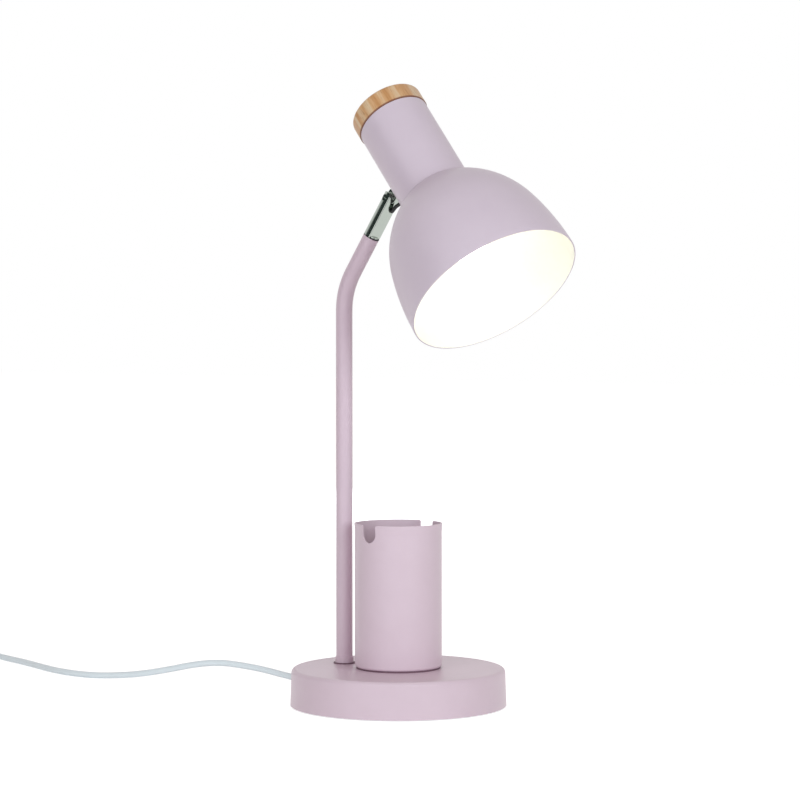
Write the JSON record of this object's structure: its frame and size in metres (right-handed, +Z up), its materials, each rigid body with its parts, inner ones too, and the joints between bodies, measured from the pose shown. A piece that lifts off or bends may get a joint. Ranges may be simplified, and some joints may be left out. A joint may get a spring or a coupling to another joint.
{
  "type": "desk lamp with pen holder",
  "caption": "Desk lamp with a round weighted base, a pen cup on the base, a bent pole, a chrome knuckle, a dome shade with a wooden end cap and a corded switch and plug.",
  "frame": {"origin": "middle of the base's underside, on the surface the lamp stands on", "axes": "+Z up, +X the way the lamp faces (from the pole through the pen cup), Y to its left"},
  "size_m": [0.7045, 0.1669, 0.4584],
  "materials": {
    "powder_coat": "satin",
    "head_coat": "satin",
    "cast_iron": "rough",
    "zinc_steel": "satin",
    "chrome": "polished",
    "dark_rubber": "matte",
    "soft_pad": "matte",
    "white_plastic": "satin",
    "white_cord": "satin",
    "black_lead": "satin",
    "wood": "satin",
    "brass": "satin",
    "bulb_glass": "frosted",
    "bulb_cap": "satin",
    "bulb_insulator": "gloss",
    "holder_plastic": "matte"
  },
  "bodies": {
    "base": {"base_cover": "powder_coat", "base_weight": "cast_iron", "base_plate": "zinc_steel", "base_pad": "soft_pad", "plate_screws": "zinc_steel", "cord_bushing": "white_plastic", "cord_clamp": "zinc_steel", "clamp_screws": "zinc_steel", "pole": "powder_coat", "pole_collar": "powder_coat", "foot_washer": "dark_rubber", "pole_insert": "zinc_steel", "threaded_rod": "zinc_steel", "rod_washer": "zinc_steel", "rod_nut": "zinc_steel", "set_screw": "zinc_steel", "swivel_washer": "dark_rubber", "inner_cord": "white_cord", "cup_gasket": "dark_rubber", "pen_cup": "powder_coat", "cup_washer": "zinc_steel", "cup_screw": "zinc_steel", "cord_front": "white_cord", "switch_lower": "white_plastic", "switch_upper": "white_plastic", "switch_contacts": "brass", "switch_screws": "zinc_steel", "cord_middle": "white_cord", "cord_coil": "white_cord", "cord_tail": "white_cord", "plug_body": "white_plastic", "plug_pins": "brass"},
    "switch_rocker": {"switch_rocker": "white_plastic"},
    "knuckle": {"knuckle": "chrome", "knuckle_lead": "black_lead", "pivot_screw": "chrome", "friction_washers": "dark_rubber"},
    "head": {"head_bracket": "zinc_steel", "shade_dome": "head_coat", "neck": "head_coat", "lead_bush": "dark_rubber", "hinge_lead": "black_lead", "holder_lead": "black_lead", "wood_cap": "wood", "cap_screws": "zinc_steel", "carrier_plate": "zinc_steel", "holder_rod": "zinc_steel", "holder_nut": "zinc_steel", "holder_front": "holder_plastic", "holder_rear": "holder_plastic", "holder_block": "holder_plastic", "screw_shell": "brass", "centre_contact": "brass", "bulb_glass": "bulb_glass", "bulb_cap": "bulb_cap", "bulb_base": "bulb_insulator", "bulb_button": "brass"}
  },
  "joints": [
    {"name": "head_swivel", "type": "hinge", "parent": "base", "child": "knuckle", "pos_m": [-0.02331, 0, 0.3468], "axis": [0.5255, 0, 0.8508], "range_deg": [-49.3, 70.7]},
    {"name": "head_tilt", "type": "hinge", "parent": "knuckle", "child": "head", "pos_m": [-0.00766, 0.00022, 0.37439], "axis": [0.158, 0.9826, -0.0976], "range_deg": [-40, 40]},
    {"name": "switch_rock", "type": "hinge", "parent": "base", "child": "switch_rocker", "pos_m": [-0.486, 0.044, 0.0148], "axis": [0, 1, 0], "range_deg": [-14, 0]}
  ]
}
